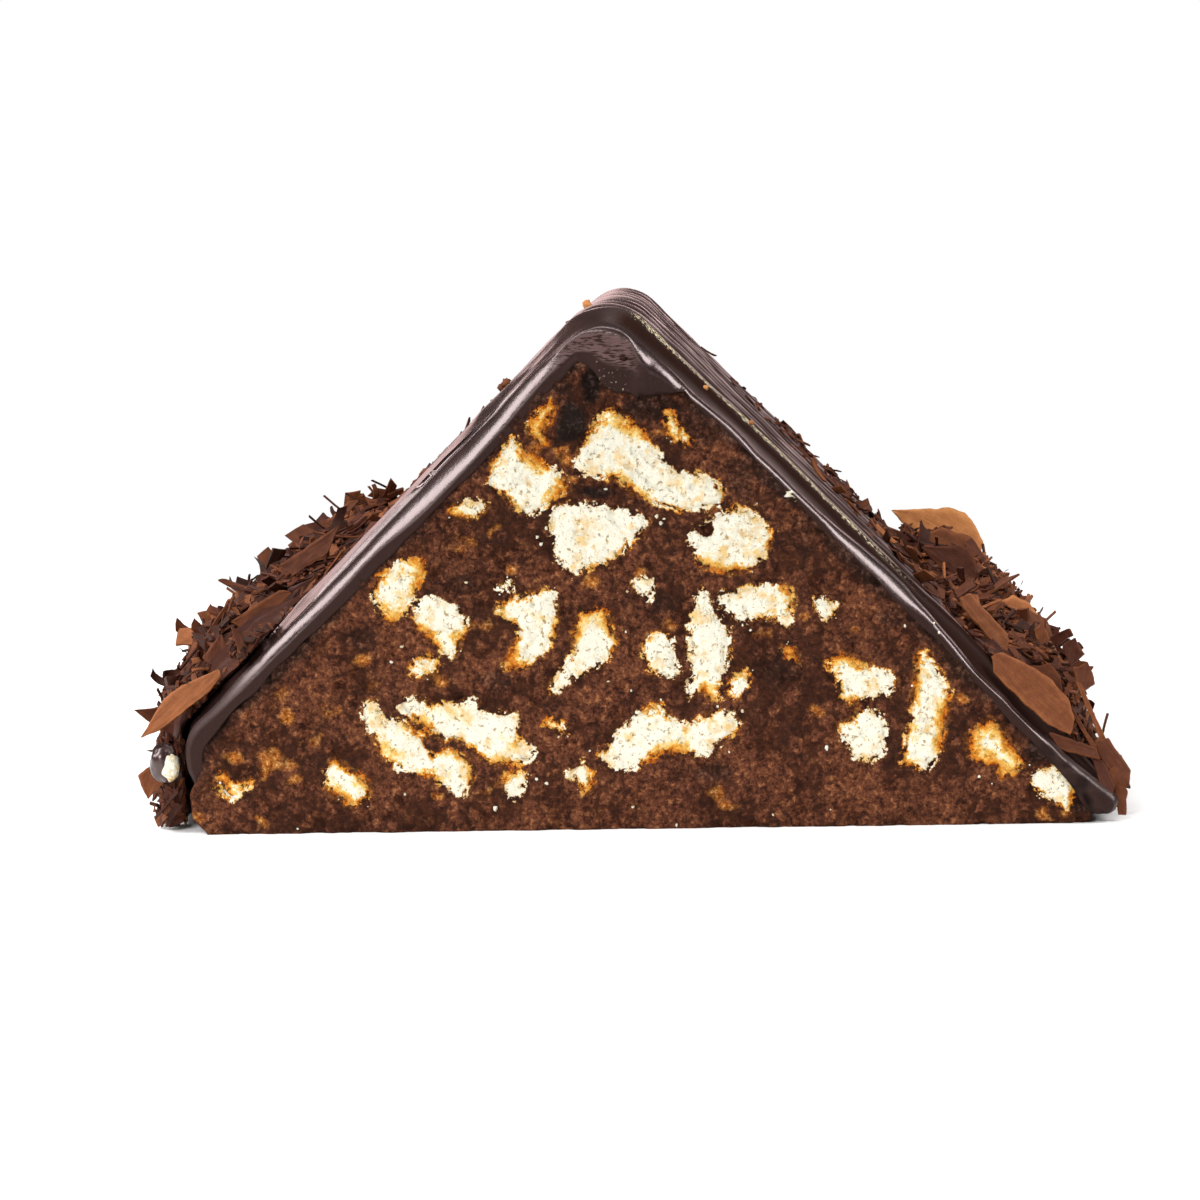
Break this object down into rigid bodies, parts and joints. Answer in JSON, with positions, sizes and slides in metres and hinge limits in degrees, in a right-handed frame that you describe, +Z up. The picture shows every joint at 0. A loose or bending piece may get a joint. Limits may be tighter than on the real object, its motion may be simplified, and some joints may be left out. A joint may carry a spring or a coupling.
{
  "type": "mosaic cake loaf",
  "caption": "Triangular chocolate biscuit loaf, glazed and cut at one end, with banks of chocolate shavings along both feet.",
  "frame": {"origin": "centre of the loaf's flat underside, midway between the dough's two feet and midway along its length", "axes": "+Y along the loaf from the cut end to the closed end, +Z up, +X to the right of someone who faces the cut end"},
  "size_m": [0.1644, 0.2433, 0.0825],
  "materials": {
    "chocolate_dough": "dark cocoa dough, matte and grainy where it is cut",
    "biscuit": "pale dry broken biscuit with toasted edges",
    "chocolate_glaze": "dark chocolate glaze with a satin gloss",
    "chocolate_shavings": "milk and dark chocolate shavings, dull with fine streaks"
  },
  "bodies": {
    "root": {"dough": "chocolate_dough", "glaze": "chocolate_glaze", "coated_crumb": "chocolate_glaze", "biscuit_peak_slab": "biscuit", "biscuit_peak_chip": "biscuit", "biscuit_peak_left": "biscuit", "biscuit_peak_stem": "biscuit", "biscuit_upper_middle": "biscuit", "biscuit_upper_right": "biscuit", "biscuit_left_flake": "biscuit", "biscuit_left_oval": "biscuit", "biscuit_left_lump": "biscuit", "biscuit_left_crumb": "biscuit", "biscuit_middle_hook": "biscuit", "biscuit_middle_bean": "biscuit", "biscuit_middle_egg": "biscuit", "biscuit_middle_bar": "biscuit", "biscuit_right_wedge": "biscuit", "biscuit_right_slab": "biscuit", "biscuit_right_drop": "biscuit", "biscuit_right_bar": "biscuit", "biscuit_right_amber": "biscuit", "biscuit_right_foot": "biscuit", "biscuit_low_slab": "biscuit", "biscuit_low_left_slab": "biscuit", "biscuit_low_left_wing": "biscuit", "biscuit_low_left_amber": "biscuit", "biscuit_low_peg": "biscuit", "biscuit_low_shard": "biscuit", "biscuit_low_sliver": "biscuit", "biscuit_middle_chip": "biscuit", "biscuit_bar_chip": "biscuit", "biscuit_left_foot": "biscuit", "biscuit_right_splinter": "biscuit", "biscuit_right_nib": "biscuit", "biscuit_hook_chip": "biscuit", "plate_right_front": "chocolate_shavings", "plate_right_slope": "chocolate_shavings", "plate_right_low": "chocolate_shavings", "plate_right_dark": "chocolate_shavings", "plate_right_steep": "chocolate_shavings", "plate_right_far": "chocolate_shavings", "plate_left_front": "chocolate_shavings", "plate_left_point": "chocolate_shavings", "plate_left_middle": "chocolate_shavings", "plate_left_rear": "chocolate_shavings", "plate_left_far": "chocolate_shavings", "shavings_left": "chocolate_shavings", "shavings_right": "chocolate_shavings"}
  },
  "joints": []
}
